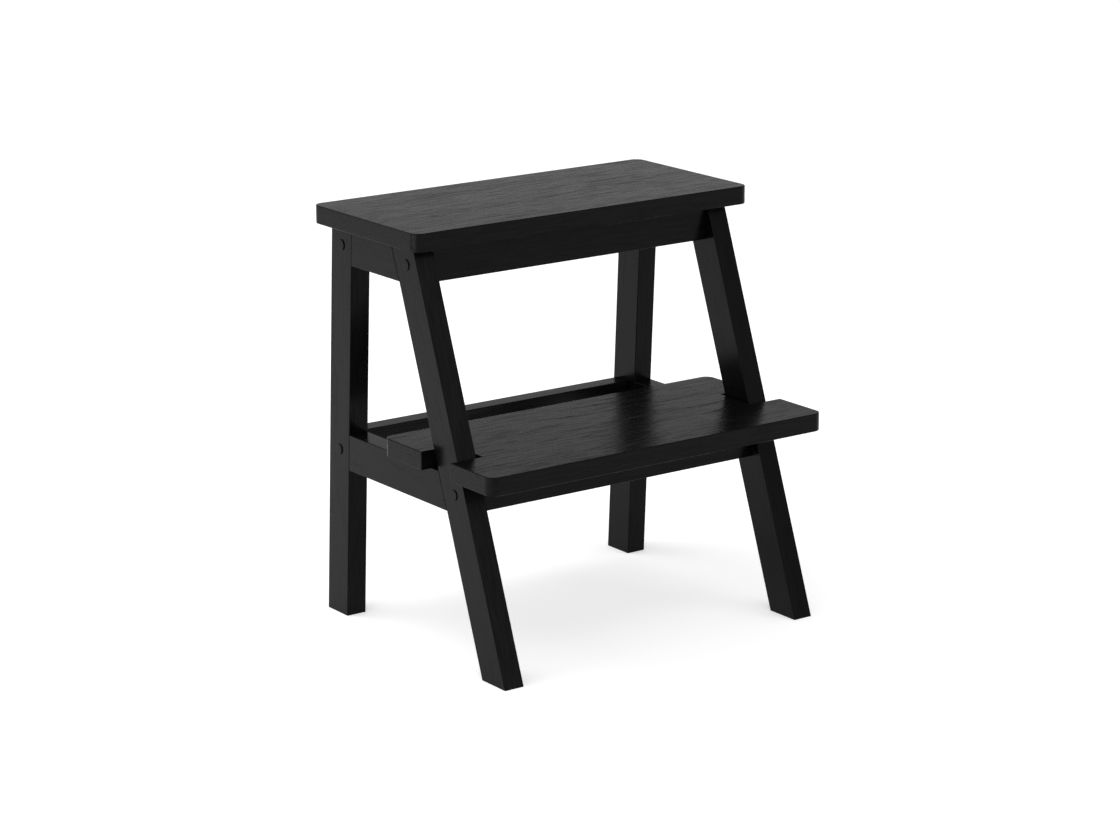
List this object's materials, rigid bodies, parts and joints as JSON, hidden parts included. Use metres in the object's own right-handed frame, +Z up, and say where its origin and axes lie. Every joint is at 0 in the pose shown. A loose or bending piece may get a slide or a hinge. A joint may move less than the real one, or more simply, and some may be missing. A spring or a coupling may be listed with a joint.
{
  "type": "step stool",
  "caption": "Wooden step stool with raked legs, a flat top board and a lower step board notched round the front legs.",
  "frame": {"origin": "on the floor, under the middle of the footprint (the middle of the width, and halfway between the front legs' toes and the rear legs' heels)", "axes": "+Z up; +X along the boards, to the right of someone about to step up; -Y towards the side that is climbed from"},
  "size_m": [0.476, 0.375, 0.5],
  "materials": {
    "stained_wood": "black stain on open-grained hardwood under satin lacquer",
    "bare_wood": "plain turned beech",
    "zinc_steel": "bright zinc plate"
  },
  "bodies": {
    "root": {"barrel_nut_lower_front_left": "zinc_steel", "barrel_nut_lower_front_right": "zinc_steel", "barrel_nut_lower_rear_left": "zinc_steel", "barrel_nut_lower_rear_right": "zinc_steel", "barrel_nut_top_front_left": "zinc_steel", "barrel_nut_top_front_right": "zinc_steel", "barrel_nut_top_rear_left": "zinc_steel", "barrel_nut_top_rear_right": "zinc_steel", "bolt_lower_front_left": "zinc_steel", "bolt_lower_front_right": "zinc_steel", "bolt_lower_rear_left": "zinc_steel", "bolt_lower_rear_right": "zinc_steel", "bolt_top_front_left": "zinc_steel", "bolt_top_front_right": "zinc_steel", "bolt_top_rear_left": "zinc_steel", "bolt_top_rear_right": "zinc_steel", "cap_lower_front_left": "stained_wood", "cap_lower_front_right": "stained_wood", "cap_lower_rear_left": "stained_wood", "cap_lower_rear_right": "stained_wood", "cap_top_front_left": "stained_wood", "cap_top_front_right": "stained_wood", "cap_top_rear_left": "stained_wood", "cap_top_rear_right": "stained_wood", "dowel_lower_front_left": "bare_wood", "dowel_lower_front_right": "bare_wood", "dowel_lower_rear_left": "bare_wood", "dowel_lower_rear_right": "bare_wood", "dowel_top_front_left": "bare_wood", "dowel_top_front_right": "bare_wood", "dowel_top_rear_left": "bare_wood", "dowel_top_rear_right": "bare_wood", "front_leg_left": "stained_wood", "front_leg_right": "stained_wood", "lower_front_rail": "stained_wood", "lower_rear_rail": "stained_wood", "lower_side_rail_left": "stained_wood", "lower_side_rail_right": "stained_wood", "rear_leg_left": "stained_wood", "rear_leg_right": "stained_wood", "step_board": "stained_wood", "step_screw_front_left": "zinc_steel", "step_screw_front_right": "zinc_steel", "step_screw_rear_left": "zinc_steel", "step_screw_rear_right": "zinc_steel", "top_board": "stained_wood", "top_front_rail": "stained_wood", "top_rear_rail": "stained_wood", "top_screw_front_left": "zinc_steel", "top_screw_front_right": "zinc_steel", "top_screw_rear_left": "zinc_steel", "top_screw_rear_right": "zinc_steel", "top_side_rail_left": "stained_wood", "top_side_rail_right": "stained_wood"}
  },
  "joints": []
}
